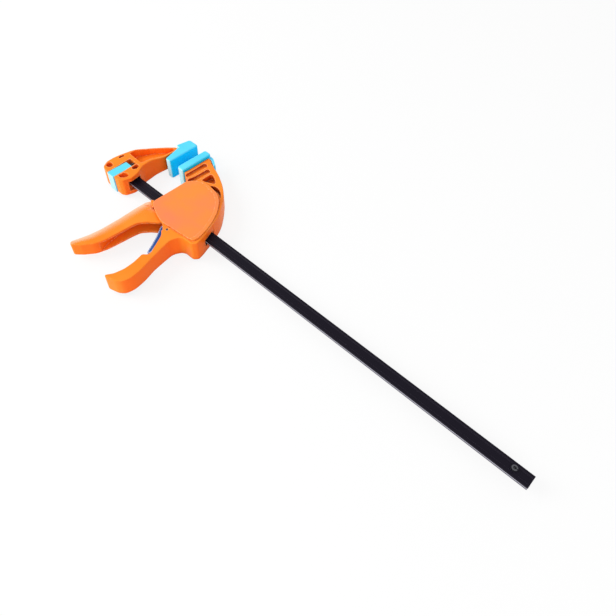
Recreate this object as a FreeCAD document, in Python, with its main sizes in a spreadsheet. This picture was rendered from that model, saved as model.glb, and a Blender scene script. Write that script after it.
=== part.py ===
"""Quick release bar clamp, modelled piece by piece in millimetres.

X runs along the bar from the fixed jaw to the bar's free end, Y from the bar to the jaw tips
and Z is the thickness of the clamp, which lies on its side. The origin is the centre of the
fixed pad's clamping face. In the sketches heights are measured from the bar's centre line, and
every piece is then placed one pad height lower.
"""
import FreeCAD, Part
import math
import os

Vector = FreeCAD.Vector

SIZES = {
    # bar
    "bar_width": 11.0,
    "bar_thickness": 4.2,
    "bar_length": 454.0,
    "bar_seat_length": 34.0,
    "bar_corner": 0.5,
    "groove_width": 6.4,
    "groove_depth": 0.45,
    "stop_pin_radius": 2.3,
    "stop_pin_bore": 1.2,
    "stop_pin_from_end": 14.0,
    "stop_pin_proud": 1.5,
    "stop_pin_slit": 0.6,
    # jaws and pads
    "pad_height": 53.0,
    "pad_length": 36.0,
    "pad_thickness": 8.5,
    "pad_half_depth": 11.0,
    "pad_round": 2.4,
    "fixed_pad_thickness": 12.0,
    "jaw_gap": 10.7,
    "pad_over_jaw": 0.5,
    "jaw_back": 9.6,
    "jaw_boss_depth": 15.5,
    "jaw_tip_half_depth": 8.0,
    "jaw_root_half_depth": 10.4,
    "jaw_boss_half_depth": 9.5,
    "jaw_web": 4.0,
    "tongue_half_depth": 6.4,
    "tongue_length": 16.0,
    "tongue_thickness": 6.4,
    "tongue_setback": 6.0,
    "tongue_top_wall": 5.0,
    "rib_length": 18.0,
    "rib_depth": 3.2,
    "rib_half_depth": 3.0,
    "hook_length": 11.5,
    "hook_thickness": 3.3,
    "hook_half_depth": 7.0,
    "pad_edge": 1.6,
    "mouth_depth": 4.5,
    "mouth_half_depth": 5.4,
    # release button of the fixed jaw
    "button_length": 22.3,
    "button_thickness": 9.4,
    "button_proud": 1.2,
    "button_travel": 2.4,
    "button_spring_radius": 1.9,
    "button_spring_length": 5.0,
    "button_wire": 0.5,
    "button_spring_offset": 6.0,
    "latch_pin_radius": 1.5,
    "latch_pin_setback": 8.7,
    # head
    "pad_over_arm": 3.6,
    "rear_wall": 7.2,
    "grip_depth": 93.6,
    "head_half_depth": 10.4,
    "grip_half_depth": 8.4,
    "arm_half_depth": 8.0,
    "cavity_half_depth": 8.2,
    "cover_half_depth": 12.0,
    "bead_width": 3.2,
    "bead_height": 0.6,
    "tunnel_gap": 0.35,
    "edge_round": 1.0,
    "screw_radius": 1.45,
    "screw_head_radius": 2.7,
    "screw_head_height": 1.6,
    "screw_boss_radius": 3.0,
    "recess_depth": 2.4,
    "cover_skin": 1.4,
    # trigger
    "trigger_half_depth": 7.4,
    "trigger_tip_half_depth": 6.5,
    "trigger_wall": 1.7,
    "trigger_rib_height": 0.5,
    "trigger_stroke_angle": 20.0,
    "trigger_pivot_height": 17.0,
    "trigger_pivot_setback": 34.8,
    "trigger_hub_radius": 5.4,
    "push_radius": 25.6,
    "push_nose_radius": 2.5,
    "pin_radius": 2.0,
    # plates and springs on the bar
    "plate_thickness": 2.6,
    "plate_half_depth": 7.6,
    "plate_above_bar": 3.0,
    "plate_below_bar": 6.0,
    "drive_spring_length": 14.5,
    "spring_radius": 6.9,
    "spring_wire": 1.0,
    "coil_gap": 0.5,
    "seat_thickness": 2.5,
    "fulcrum_length": 3.4,
    "fulcrum_depth": 8.0,
    "brake_tilt_angle": 9.0,
    "brake_above_bar": 7.0,
    "brake_spring_length": 6.4,
    # release lever
    "lever_half_depth": 4.4,
    "lever_nose_radius": 1.8,
    "lever_pin_radius": 1.2,
    # clearances
    "seat_gap": 0.3,
    "running_gap": 0.06,
    "overrun": 2.0,
}

doc = FreeCAD.newDocument("bar_clamp")
sheet = doc.addObject("Spreadsheet::Sheet", "sizes")
for row, (alias, value) in enumerate(SIZES.items(), start=1):
    sheet.set("A%d" % row, alias)
    sheet.set("B%d" % row, str(value))
    sheet.setAlias("B%d" % row, alias)
doc.recompute()


def size(alias):
    """The value of a named size, read from the sheet."""
    return float(sheet.get(alias))


BAR_TO_PAD = size("pad_height")
REST = FreeCAD.Placement(Vector(0, -BAR_TO_PAD, 0), FreeCAD.Rotation())


def new_body(name):
    body = doc.addObject("PartDesign::Body", name)
    body.Label = name
    body.Placement = REST
    return body


def origin_plane(body, role):
    return [item for item in body.Origin.OriginFeatures if item.Role == role][0]


def sketch_on(body, name, edges, role="XY_Plane", offset=0.0):
    """A sketch of the given edges on one of the body's own planes, lifted by offset."""
    sketch = body.newObject("Sketcher::SketchObject", name)
    sketch.AttachmentSupport = (origin_plane(body, role), "")
    sketch.MapMode = "FlatFace"
    sketch.AttachmentOffset = FreeCAD.Placement(Vector(0, 0, offset), FreeCAD.Rotation())
    sketch.addGeometry(edges, False)
    return sketch


def rounded(corners):
    """Lines and tangent arcs of a closed outline given as (x, y, corner radius)."""
    count = len(corners)
    points = [Vector(x, y, 0) for x, y, _ in corners]
    starts = []
    ends = []
    arcs = []
    for index, (_, _, radius) in enumerate(corners):
        here = points[index]
        back = points[index - 1] - here
        ahead = points[(index + 1) % count] - here
        turn = math.pi - back.getAngle(ahead)
        reach = 0.0
        if radius > 0 and turn > 0:
            reach = min(radius * math.tan(turn / 2), 0.48 * back.Length, 0.48 * ahead.Length)
        back.normalize()
        ahead.normalize()
        starts.append(here + back * reach)
        ends.append(here + ahead * reach)
        if reach > 0:
            true_radius = reach / math.tan(turn / 2)
            inward = (back + ahead).normalize()
            middle = here + inward * (true_radius / math.cos(turn / 2) - true_radius)
            arcs.append(Part.Arc(starts[-1], middle, ends[-1]))
        else:
            arcs.append(None)
    edges = []
    for index in range(count):
        if arcs[index]:
            edges.append(arcs[index])
        following = (index + 1) % count
        if ends[index].distanceToPoint(starts[following]) > 1e-6:
            edges.append(Part.LineSegment(ends[index], starts[following]))
    return edges


def rectangle(x0, y0, x1, y1, radius=0.0):
    return rounded([(x0, y0, radius), (x1, y0, radius), (x1, y1, radius), (x0, y1, radius)])


def circle(x, y, radius):
    return [Part.Circle(Vector(x, y, 0), Vector(0, 0, 1), radius)]


def pad(body, sketch, expression, name, symmetric=True, reverse=False):
    feature = body.newObject("PartDesign::Pad", name)
    feature.Profile = sketch
    feature.setExpression("Length", expression)
    if symmetric:
        feature.SideType = "Symmetric"
    feature.Reversed = reverse
    return feature


def pocket(body, sketch, expression, name, symmetric=True, reverse=False):
    feature = body.newObject("PartDesign::Pocket", name)
    feature.Profile = sketch
    feature.setExpression("Length", expression)
    if symmetric:
        feature.SideType = "Symmetric"
    feature.Reversed = reverse
    return feature


def edge_names(shape, chosen):
    """Names of the shape's edges for which chosen(edge) is true."""
    return ["Edge%d" % number for number, edge in enumerate(shape.Edges, start=1) if chosen(edge)]


def fillet(body, base, expression, chosen, name):
    doc.recompute()
    feature = body.newObject("PartDesign::Fillet", name)
    feature.Base = (base, edge_names(base.Shape, chosen))
    feature.setExpression("Radius", expression)
    return feature


def wall_beside_cap(shape, edge):
    """True on the rim between an upright wall and a face that looks up or down."""
    lean = []
    for face in shape.ancestorsOfType(edge, Part.Face):
        u0, u1, v0, v1 = face.ParameterRange
        lean.append(abs(face.normalAt((u0 + u1) / 2, (v0 + v1) / 2).z))
    return len(lean) == 2 and min(lean) < 0.01 and max(lean) > 0.5


def rim_fillet(body, base, expression, name):
    """Rounds every rim between the walls and the top and bottom of a feature."""
    doc.recompute()
    shape = base.Shape
    return fillet(body, base, expression, lambda edge: wall_beside_cap(shape, edge), name)


def scaled(shares, x0, width, height, depth):
    """Outline corners from shares: heights above the bar's centre line are shares of height,
    heights below it shares of depth, and corner radii shares of the width."""
    corners = []
    for along, up, radius in shares:
        corners.append((x0 + along * width, up * (height if up > 0 else depth), abs(radius * width)))
    return corners


def inset(corners, distance):
    """The outline moved inward by a distance, or by one distance for each of its sides."""
    count = len(corners)
    gaps = distance if isinstance(distance, list) else [distance] * count
    points = [Vector(x, y, 0) for x, y, _ in corners]
    turning = sum(points[i - 1].x * points[i].y - points[i].x * points[i - 1].y for i in range(count))
    side = 1 if turning > 0 else -1
    moved = []
    for index in range(count):
        here = points[index]
        before = (here - points[index - 1]).normalize()
        after = (points[(index + 1) % count] - here).normalize()
        normal_before = Vector(-before.y, before.x, 0) * side
        normal_after = Vector(-after.y, after.x, 0) * side
        cross = before.x * after.y - before.y * after.x
        start = here + normal_before * gaps[index - 1]
        aim = here + normal_after * gaps[index]
        if abs(cross) > 1e-3:
            reach = ((aim.x - start.x) * after.y - (aim.y - start.y) * after.x) / cross
            start = start + before * reach
        turns_out = cross * side > 0
        shift = -gaps[index] if turns_out else gaps[index]
        moved.append((start.x, start.y, max(corners[index][2] + shift, 0)))
    return moved


def side_profile(stations):
    """Closed profile, even about the mid-plane, from (height, half depth, corner radius)."""
    mirrored = [(height, -half, radius) for height, half, radius in reversed(stations)]
    return rounded(stations + mirrored)


def shaped_block(body, name, outline, stations):
    """A moulding with a side profile along the height and an outline seen along its depth."""
    margin = size("overrun")
    xs = [x for x, _, _ in outline]
    heights = [height for height, _, _ in stations]
    left = min(xs) - margin
    sides = sketch_on(body, name + "_side_profile", side_profile(stations), "YZ_Plane", left)
    block = body.newObject("PartDesign::Pad", name + "_block")
    block.Profile = sides
    block.Length = max(xs) - min(xs) + 2 * margin
    around = rectangle(left - margin, min(heights) - margin, max(xs) + 2 * margin, max(heights) + margin)
    ring = sketch_on(body, name + "_outline", around + rounded(outline))
    pocket(body, ring, "4 * sizes.cover_half_depth", name + "_trim")
    doc.recompute()


def cut_down(body, name, edges, top, expression):
    """Cuts downward from a plane at the given depth coordinate."""
    return pocket(body, sketch_on(body, name + "_sketch", edges, "XY_Plane", top), expression, name, False)


def cut_up(body, name, edges, bottom, expression):
    """Cuts upward from a plane at the given depth coordinate."""
    sketch = sketch_on(body, name + "_sketch", edges, "XY_Plane", bottom)
    return pocket(body, sketch, expression, name, False, True)


def cut_through(body, name, edges, expression="4 * sizes.cover_half_depth", role="XY_Plane"):
    """Cuts evenly to both sides of the mid-plane."""
    return pocket(body, sketch_on(body, name + "_sketch", edges, role), expression, name)


def recess_to_web(body, name, edges):
    """Cuts a recess from both sides and leaves the web in the mid-plane."""
    top = size("cover_half_depth") + size("overrun")
    depth = "sizes.cover_half_depth + sizes.overrun - sizes.jaw_web / 2"
    cut_down(body, name + "_upper", edges, top, depth)
    cut_up(body, name + "_lower", edges, -top, depth)


def biarc(start, start_way, end, end_way):
    """Two arcs, tangent to each other and to the given ways at both ends."""
    across = end - start
    ways = start_way + end_way
    spread = 2 * (1 - start_way.dot(end_way))
    part = across.dot(ways)
    reach = (-part + math.sqrt(part * part + spread * across.dot(across))) / spread
    knees = [start + start_way * reach, end - end_way * reach]
    joint = (knees[0] + knees[1]) / 2
    arcs = []
    for first, knee, last in ((start, knees[0], joint), (joint, knees[1], end)):
        centre = (first + last) / 2
        half_chord = (last - first).Length / 2
        rise = knee - centre
        bend = math.atan2(rise.Length, half_chord)
        middle = centre + rise.normalize() * (half_chord * math.tan(bend / 2))
        arcs.append(Part.Arc(first, middle, last).toShape())
    return arcs


def coil(radius, wire, length, turns, axis_point, axis, side):
    """A compression spring as one unbroken tube of quarter turns, its end turns closer."""
    quarters = int(4 * turns)
    close_pitch = wire + size("coil_gap")
    run = length - wire
    middle_turns = turns - 2
    open_pitch = (run - 2 * close_pitch) / middle_turns
    other = axis.cross(side)
    points = []
    ways = []
    rise = 0.0
    for step in range(quarters + 1):
        angle = step * math.pi / 2
        in_end_turn = step <= 4 or step >= quarters - 3
        pitch = close_pitch if in_end_turn else open_pitch
        if step > 0:
            rise += pitch / 4
        out = side * math.cos(angle) + other * math.sin(angle)
        along = other * math.cos(angle) - side * math.sin(angle)
        points.append(axis_point + axis * (wire / 2 + rise) + out * radius)
        ways.append((along * (2 * math.pi * radius) + axis * pitch).normalize())
    edges = []
    for step in range(quarters):
        edges += biarc(points[step], ways[step], points[step + 1], ways[step + 1])
    path = Part.Wire(edges)
    profile = Part.Wire([Part.Circle(points[0], ways[0], wire / 2).toShape()])
    spring = path.makePipeShell([profile], True, False)
    samples = path.discretize(40 * quarters)
    apart = len(samples) // turns * 0.6
    least = min(
        (samples[i] - samples[j]).Length
        for i in range(0, len(samples), 3)
        for j in range(int(i + apart), len(samples), 3)
    )
    print("spring radius %.1f: least gap to itself %.2f mm" % (radius, least - wire))
    return spring


def new_feature(name, shape):
    feature = doc.addObject("Part::Feature", name)
    feature.Label = name
    feature.Shape = shape
    feature.Placement = REST
    return feature


# Stations along the bar
ARM_X = size("jaw_gap") + size("pad_thickness")
BAR_HALF = size("bar_width") / 2
BAR_FLAT = size("bar_thickness") / 2
BAR_END = -size("bar_seat_length")
LATCH_X = BAR_END + size("latch_pin_setback")
LATCH_V = -size("button_travel") / 2
BUTTON_TOP = size("button_length") - size("jaw_boss_depth") - size("button_proud")
PIVOT_X = ARM_X + size("trigger_pivot_setback")
PIVOT_V = size("trigger_pivot_height")
HALF_STROKE = math.radians(size("trigger_stroke_angle")) / 2
NOSE_X = PIVOT_X - size("push_radius") * math.sin(HALF_STROKE)
NOSE_V = PIVOT_V - size("push_radius") * math.cos(HALF_STROKE)
PLATE_X = NOSE_X + size("push_nose_radius") + size("seat_gap")
DRIVE_SPRING_X = PLATE_X + 2 * size("plate_thickness")
SEAT_X = DRIVE_SPRING_X + size("drive_spring_length")
SEAT_BACK_X = SEAT_X + size("seat_thickness")
FULCRUM_X = SEAT_BACK_X + size("fulcrum_length")
FULCRUM_V = -size("fulcrum_depth")
BRAKE_TILT = math.radians(size("brake_tilt_angle"))
BRAKE_SPRING_X = FULCRUM_X + size("plate_thickness") + size("seat_gap")
REAR_WALL_X = BRAKE_SPRING_X + size("brake_spring_length") + size("seat_gap")
TUNNEL_HALF = BAR_HALF + size("tunnel_gap")
TUNNEL_FLAT = BAR_FLAT + size("tunnel_gap")

# Reach of both jaws above the bar, and the lengths that follow from what the jaw and head hold
PAD_TOP = size("pad_height") + size("pad_length") / 2
JAW_REACH = PAD_TOP - size("pad_over_jaw")
JAW_LENGTH = size("bar_seat_length") + size("jaw_back")
HEAD_REACH = PAD_TOP - size("pad_over_arm")
rear_face_share = 0.932
HEAD_LENGTH = (REAR_WALL_X + size("rear_wall") - ARM_X) / rear_face_share

# Pin of the release lever and foot of the brake plate, as shares of the head's length and grip depth
lever_pin_along_share = 0.62
lever_pin_depth_share = 0.271
brake_foot_share = 0.1912
LEVER_X = ARM_X + lever_pin_along_share * HEAD_LENGTH
LEVER_V = -lever_pin_depth_share * size("grip_depth")
BRAKE_FOOT_V = -brake_foot_share * size("grip_depth")


def make_clamp_bar():
    """Flat steel bar with rounded edges and a shallow rolled groove in both broad faces."""
    body = new_body("clamp_bar")
    edge = size("bar_corner")
    groove = size("groove_width") / 2
    dip = size("groove_depth")
    half = [(BAR_HALF, -BAR_FLAT, edge), (BAR_HALF, BAR_FLAT, edge), (groove, BAR_FLAT, 0),
            (groove - dip, BAR_FLAT - dip, 0)]
    profile = half + [(-x, y, radius) for x, y, radius in reversed(half[2:])]
    profile += [(-x, -y, radius) for x, y, radius in half]
    profile += [(x, -y, radius) for x, y, radius in reversed(half[2:])]
    section = sketch_on(body, "bar_section", rounded(profile), "YZ_Plane", BAR_END)
    pad(body, section, "sizes.bar_length", "bar_strip", False)
    pin_x = size("bar_length") - size("bar_seat_length") - size("stop_pin_from_end")
    cut_through(body, "stop_pin_hole", circle(pin_x, 0, size("stop_pin_radius")))
    reach = size("latch_pin_radius") + size("seat_gap")
    free_v = LATCH_V + size("button_travel")
    turn = reach / 2
    slot = [(BAR_END - size("overrun"), free_v - reach, 0), (LATCH_X - reach, free_v - reach, 0),
            (LATCH_X - reach, LATCH_V - reach, turn), (LATCH_X + reach, LATCH_V - reach, turn),
            (LATCH_X + reach, free_v + reach, turn), (BAR_END - size("overrun"), free_v + reach, 0)]
    cut_through(body, "latch_slot", rounded(slot))
    return body


def make_bar_stop_pin():
    """Rolled spring pin that stops the head at the free end of the bar."""
    body = new_body("bar_stop_pin")
    x = size("bar_length") - size("bar_seat_length") - size("stop_pin_from_end")
    ring = circle(x, 0, size("stop_pin_radius")) + circle(x, 0, size("stop_pin_bore"))
    pad(body, sketch_on(body, "pin_ring", ring), "sizes.bar_thickness + 2 * sizes.stop_pin_proud", "pin_tube")
    half = size("stop_pin_slit") / 2
    slit = rectangle(x, -half, x + size("stop_pin_radius") + size("overrun"), half)
    cut_through(body, "pin_slit", slit)
    return body


# The fixed jaw's outline: shares of its length behind the pad face, of the reach above the
# bar's centre line and of the boss depth below it
jaw_outline_shares = [
    (0.71, -1.0, 0.05), (0.906, -0.916, 0.12), (1.0, -0.45, 0.20), (0.995, 0.01, 0.80),
    (0.931, 0.20, 0.80), (0.885, 0.34, 0.80), (0.711, 0.54, 0.90), (0.516, 0.69, 0.90),
    (0.36, 0.789, 0.06), (0.262, 0.776, 0.04), (0.268, 0.54, 0.50), (0.335, 0.355, 0.60),
    (0.312, 0.184, 0.30), (0.206, 0.057, 0.20), (0.174, -0.32, 0.15), (0.23, -0.84, 0.10),
    (0.321, -1.0, 0.08),
]
jaw_mouth_share = 0.17
# Heights, as shares of the reach or boss depth, where the jaw's half depth changes
jaw_step_shares = {"boss": -0.35, "root": 0.10, "waist": 0.30, "tip": 0.52}
jaw_arm_recess_shares = [
    (0.865, 0.215, 0.05), (0.40, 0.20, 0.05), (0.385, 0.36, 0.30), (0.315, 0.54, 0.20),
    (0.305, 0.74, 0.04), (0.38, 0.74, 0.04), (0.515, 0.65, 0.30), (0.69, 0.51, 0.60),
    (0.84, 0.335, 0.30),
]
# Small recesses round the button: beside its far end, in the toe, and two in the heel
jaw_root_recess_shares = [
    (0.445, 0.055, 0.02), (0.37, 0.04, 0.04), (0.315, 0.085, 0.04), (0.36, 0.148, 0.03), (0.445, 0.148, 0.02),
]
jaw_toe_recess_shares = [
    (0.435, -0.80, 0.02), (0.33, -0.78, 0.10), (0.27, -0.55, 0.10), (0.262, -0.30, 0.05),
    (0.37, -0.22, 0.08), (0.435, -0.38, 0.02),
]
jaw_heel_slot_shares = [(0.865, 0.055, 0.03), (0.925, 0.055, 0.03), (0.905, 0.14, 0.03), (0.845, 0.14, 0.03)]
jaw_heel_hole_shares = [
    (0.775, -0.72, 0.07), (0.90, -0.76, 0.07), (0.945, -0.50, 0.07), (0.925, -0.32, 0.07), (0.775, -0.36, 0.07),
]


def jaw_corners(shares):
    return scaled(shares, 0, -JAW_LENGTH, JAW_REACH, size("jaw_boss_depth"))


def tongue_outline(gap):
    """The tongue at the fixed jaw's tip that the pad is pushed over."""
    front = -size("tongue_setback")
    top = PAD_TOP - size("tongue_top_wall")
    return rectangle(front - size("tongue_thickness") - gap, top - size("tongue_length") - gap,
                     front + gap, top + gap, size("pad_round") / 2)


def make_fixed_jaw():
    body = new_body("fixed_jaw")
    reach = JAW_REACH
    boss = size("jaw_boss_depth")
    steps = jaw_step_shares
    beyond = size("overrun")
    stations = [
        (-boss - beyond, size("jaw_boss_half_depth"), 0),
        (steps["boss"] * boss, size("jaw_boss_half_depth"), boss),
        (steps["root"] * reach, size("jaw_root_half_depth"), boss),
        (steps["waist"] * reach, size("jaw_root_half_depth"), reach),
        (steps["tip"] * reach, size("jaw_tip_half_depth"), reach),
        (reach + beyond, size("jaw_tip_half_depth"), 0),
    ]
    shaped_block(body, "jaw", jaw_corners(jaw_outline_shares), stations)
    rim_fillet(body, body.Tip, "sizes.edge_round", "jaw_edges")
    pad(body, sketch_on(body, "jaw_tongue_sketch", tongue_outline(0)), "2 * sizes.tongue_half_depth", "jaw_tongue")
    recess_to_web(body, "jaw_arm_recess", rounded(jaw_corners(jaw_arm_recess_shares)))
    recess_depth = "sizes.overrun + 2 * sizes.recess_depth"
    top = size("jaw_root_half_depth") + beyond
    small_recesses = rounded(jaw_corners(jaw_root_recess_shares)) + rounded(jaw_corners(jaw_toe_recess_shares))
    small_recesses += rounded(jaw_corners(jaw_heel_slot_shares)) + rounded(jaw_corners(jaw_heel_hole_shares))
    cut_down(body, "jaw_recesses_upper", small_recesses, top, recess_depth)
    cut_up(body, "jaw_recesses_lower", small_recesses, -top, recess_depth)
    gap = size("seat_gap")
    half = size("button_thickness") / 2 + gap
    channel = rectangle(LATCH_X - half, -boss - beyond, LATCH_X + half, BUTTON_TOP + size("button_spring_length"))
    cut_through(body, "button_channel", channel)
    tunnel = rectangle(-TUNNEL_HALF, -TUNNEL_FLAT, TUNNEL_HALF, TUNNEL_FLAT)
    socket = sketch_on(body, "bar_socket_sketch", tunnel, "YZ_Plane", BAR_END - gap)
    pocket(body, socket, "2 * sizes.bar_seat_length", "bar_socket", False, True)
    inner = TUNNEL_HALF
    outer = inner + size("mouth_depth")
    face = jaw_mouth_share * -JAW_LENGTH
    mouth = [(face - size("mouth_depth"), -inner, 0), (face, -outer, 0), (0, -outer, 0), (0, inner, 0),
             (face - size("mouth_depth"), inner, 0)]
    cut_through(body, "bar_mouth", rounded(mouth), "2 * sizes.mouth_half_depth")
    return body


# The fixed pad's outline: shares of its thickness behind the clamping face and of its length
# along the face, from the end near the bar
fixed_pad_shares = [
    (0.0, 0.0, 0.22), (0.0, 1.0, 0.20), (-1.04, 1.0, 0.25), (-1.28, 0.58, 0.12),
    (-0.915, 0.555, 0.04), (-0.88, 0.46, 0.08), (-0.54, 0.0, 0.16),
]


def make_fixed_jaw_pad():
    """Soft boot over the tip of the fixed jaw; its flat front is the clamping face."""
    body = new_body("fixed_jaw_pad")
    low = size("pad_height") - size("pad_length") / 2
    thickness = size("fixed_pad_thickness")
    corners = [(along * thickness, low + up * size("pad_length"), radius * thickness)
               for along, up, radius in fixed_pad_shares]
    pad(body, sketch_on(body, "fixed_pad_outline", rounded(corners)), "2 * sizes.pad_half_depth", "fixed_pad_block")
    rim_fillet(body, body.Tip, "sizes.pad_edge", "fixed_pad_edges")
    pocket_depth = "2 * (sizes.tongue_half_depth + sizes.seat_gap)"
    cut_through(body, "tongue_pocket", tongue_outline(size("seat_gap")), pocket_depth)
    return body


def rib_outline(gap):
    """The rib behind the moving pad and its groove in the arm."""
    middle = size("pad_height")
    half = size("rib_length") / 2 + gap
    return rectangle(ARM_X - size("overrun"), middle - half, ARM_X + size("rib_depth") + gap, middle + half)


# The hook's fall and the thickness of its end, as shares of its length and thickness
hook_fall_share = 0.37
hook_end_share = 0.8


def make_moving_jaw_pad():
    """Soft pad on the moving jaw with a hook that laps over the end of the arm."""
    body = new_body("moving_jaw_pad")
    low = size("pad_height") - size("pad_length") / 2
    high = low + size("pad_length")
    front = size("jaw_gap")
    turn = size("pad_round")
    block = rectangle(front, low, ARM_X, high, turn)
    pad(body, sketch_on(body, "moving_pad_outline", block), "2 * sizes.pad_half_depth", "moving_pad_block")
    rim_fillet(body, body.Tip, "sizes.pad_edge", "moving_pad_edges")
    reach = HEAD_REACH + size("seat_gap")
    fall = size("hook_length") * hook_fall_share
    thick = size("hook_thickness")
    hook_end = ARM_X + size("hook_length")
    hook = [(ARM_X - thick, reach, 0), (ARM_X + thick, reach, turn), (hook_end, reach - fall, 0),
            (hook_end, reach - fall + thick * hook_end_share, turn / 2), (ARM_X + thick, high, 2 * turn),
            (ARM_X - thick, high, 0)]
    pad(body, sketch_on(body, "hook_outline", rounded(hook)), "2 * sizes.hook_half_depth", "pad_hook")
    pad(body, sketch_on(body, "pad_rib_sketch", rib_outline(0)), "2 * sizes.rib_half_depth", "pad_rib")
    return body


def make_jaw_release_button():
    """Saddle-shaped button astride the bar; it carries the latch pin."""
    body = new_body("jaw_release_button")
    half = size("button_thickness") / 2
    bottom = BUTTON_TOP - size("button_length")
    turn = size("edge_round")
    block = rectangle(LATCH_X - half, bottom, LATCH_X + half, BUTTON_TOP, turn)
    pad(body, sketch_on(body, "button_outline", block), "2 * sizes.jaw_boss_half_depth", "button_block")
    rim_fillet(body, body.Tip, "sizes.edge_round / 2", "button_edges")
    gap = size("seat_gap")
    floor = -BAR_HALF - size("button_travel") - gap
    saddle = rectangle(LATCH_X - half - size("overrun"), floor, LATCH_X + half + size("overrun"),
                       BUTTON_TOP + size("overrun"))
    cut_through(body, "button_saddle", saddle, "sizes.bar_thickness + 2 * sizes.tunnel_gap")
    cut_up(body, "latch_pin_hole", circle(LATCH_X, LATCH_V, size("latch_pin_radius")),
           -size("jaw_boss_half_depth"), "2 * sizes.jaw_boss_half_depth - sizes.latch_pin_setback / 2")
    return body


def make_latch_pin():
    body = new_body("latch_pin")
    ring = sketch_on(body, "latch_pin_circle", circle(LATCH_X, LATCH_V, size("latch_pin_radius")),
                     "XY_Plane", size("edge_round") - size("jaw_boss_half_depth"))
    pad(body, ring, "2 * sizes.jaw_boss_half_depth - sizes.latch_pin_setback / 2 - sizes.edge_round",
        "latch_pin_rod", False)
    return body


def make_button_springs():
    """Two small springs that push the button back out."""
    gap = size("seat_gap")
    springs = []
    for side in (1, -1):
        foot = Vector(LATCH_X, BUTTON_TOP + gap / 2, side * size("button_spring_offset"))
        springs.append(coil(size("button_spring_radius"), size("button_wire"),
                            size("button_spring_length") - gap, 4, foot, Vector(0, 1, 0), Vector(1, 0, 0)))
    return new_feature("button_springs", Part.makeCompound(springs))


# The head's outline: shares of its length from the arm's pad seat and, for heights, of the
# reach above the bar's centre line or of the grip's depth below it
head_outline_shares = [
    (0.0, 1.0, 0.03), (0.0, 0.534, 0.03), (0.115, 0.50, 0.07), (0.1825, 0.395, 0.06),
    (0.1825, -0.12, 0.03), (0.207, -0.155, 0.03), (0.36, -0.218, 0.50), (0.50, -0.262, 0.10),
    (0.63, -0.345, 0.15), (0.737, -0.54, 0.03), (0.737, -0.578, 0.03), (0.692, -0.615, 0.03),
    (0.718, -0.72, 0.15), (0.724, -0.83, 0.20), (0.70, -0.925, 0.10), (0.648, -1.0, 0.028),
    (0.69, -1.0, 0.05), (0.79, -0.975, 0.12), (0.85, -0.935, 0.10), (0.874, -0.85, 0.25),
    (0.857, -0.73, 0.90), (0.811, -0.59, 0.90), (0.78, -0.449, 0.50), (0.758, -0.335, 0.15),
    (0.80, -0.256, 0.10), (0.848, -0.236, 0.06), (0.962, -0.236, 0.045), (1.003, -0.193, 0.04),
    (0.985, -0.12, 0.60), (0.950, -0.03, 0.90), (0.901, 0.124, 0.90), (0.848, 0.276, 0.90),
    (0.776, 0.40, 0.90), (0.697, 0.519, 0.90), (0.602, 0.638, 0.90), (0.478, 0.749, 0.90),
    (0.318, 0.853, 0.90), (0.137, 0.935, 0.60), (0.03, 1.0, 0.03),
]
# Outline of the side cover and of the raised panel opposite, in the same shares
cover_outline_shares = [
    (0.232, 0.485, 0.10), (0.1825, 0.395, 0.05), (0.1825, -0.12, 0.03), (0.207, -0.153, 0.03),
    (0.36, -0.214, 0.50), (0.493, -0.248, 0.15), (0.95, -0.206, 0.03), (0.963, -0.15, 0.05),
    (0.937, -0.03, 0.60), (0.883, 0.13, 0.90), (0.815, 0.29, 0.60), (0.70, 0.452, 0.40),
    (0.58, 0.54, 0.30), (0.42, 0.567, 0.30), (0.31, 0.545, 0.20),
]
# Sides of that outline that the head's front leaves open, and those that carry the bead
cover_open_sides = range(1, 5)
cover_bead_sides = range(6, 13)
# Rooms inside the head: the trigger and drive spring, then the brake plate
drive_room_shares = [
    (0.259, 0.37, 0.04), (0.259, 0.03, 0.08), (0.212, -0.118, 0.04), (0.164, -0.19, 0.0),
    (0.38, -0.385, 0.0), (0.583, -0.353, 0.0), (0.586, -0.30, 0.04), (0.639, -0.219, 0.04),
]
drive_room_top_shares = [(0.60, 0.32, 0.04), (0.53, 0.46, 0.08), (0.33, 0.46, 0.05)]
seat_top_share = 0.26
brake_room_floor_share = -0.214
lever_slot_shares = [
    (0.404, -0.208, 0.0), (0.404, -0.577, 0.0), (0.765, -0.577, 0.025), (0.762, -0.502, 0.05),
    (0.723, -0.406, 0.10), (0.704, -0.337, 0.04), (0.753, -0.267, 0.04), (0.809, -0.216, 0.025),
    (0.842, -0.207, 0.01), (0.842, -0.19, 0.0), (0.639, -0.19, 0.0),
]
# The arm's two valleys between ribs that run along the pad, the deep pocket behind them and the
# crescent slot beside the cover
arm_front_valley_shares = [(0.042, 0.46, 0.0), (0.110, 0.46, 0.0), (0.116, 0.862, 0.03), (0.042, 0.905, 0.03)]
arm_rear_valley_shares = [
    (0.140, 0.42, 0.0), (0.176, 0.42, 0.01), (0.215, 0.49, 0.03), (0.217, 0.80, 0.02), (0.150, 0.85, 0.03),
]
arm_pocket_shares = [
    (0.245, 0.60, 0.02), (0.30, 0.615, 0.04), (0.42, 0.685, 0.02), (0.33, 0.765, 0.06), (0.245, 0.80, 0.02),
]
arm_slot_shares = [
    (0.375, 0.595, 0.015), (0.58, 0.575, 0.10), (0.665, 0.505, 0.01), (0.56, 0.628, 0.20), (0.455, 0.665, 0.10),
]
screw_place_shares = [(0.29, 0.44), (0.74, 0.30), (0.90, -0.175), (0.262, 0.145)]
head_step_shares = {"grip": -0.58, "housing": -0.24, "shoulder": 0.42, "arm": 0.56}


def head_corners(shares):
    return scaled(shares, ARM_X, HEAD_LENGTH, HEAD_REACH, size("grip_depth"))


def screw_places():
    places = []
    for along, up in screw_place_shares:
        height = up * (HEAD_REACH if up > 0 else size("grip_depth"))
        places.append((ARM_X + along * HEAD_LENGTH, height))
    return places


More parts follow.
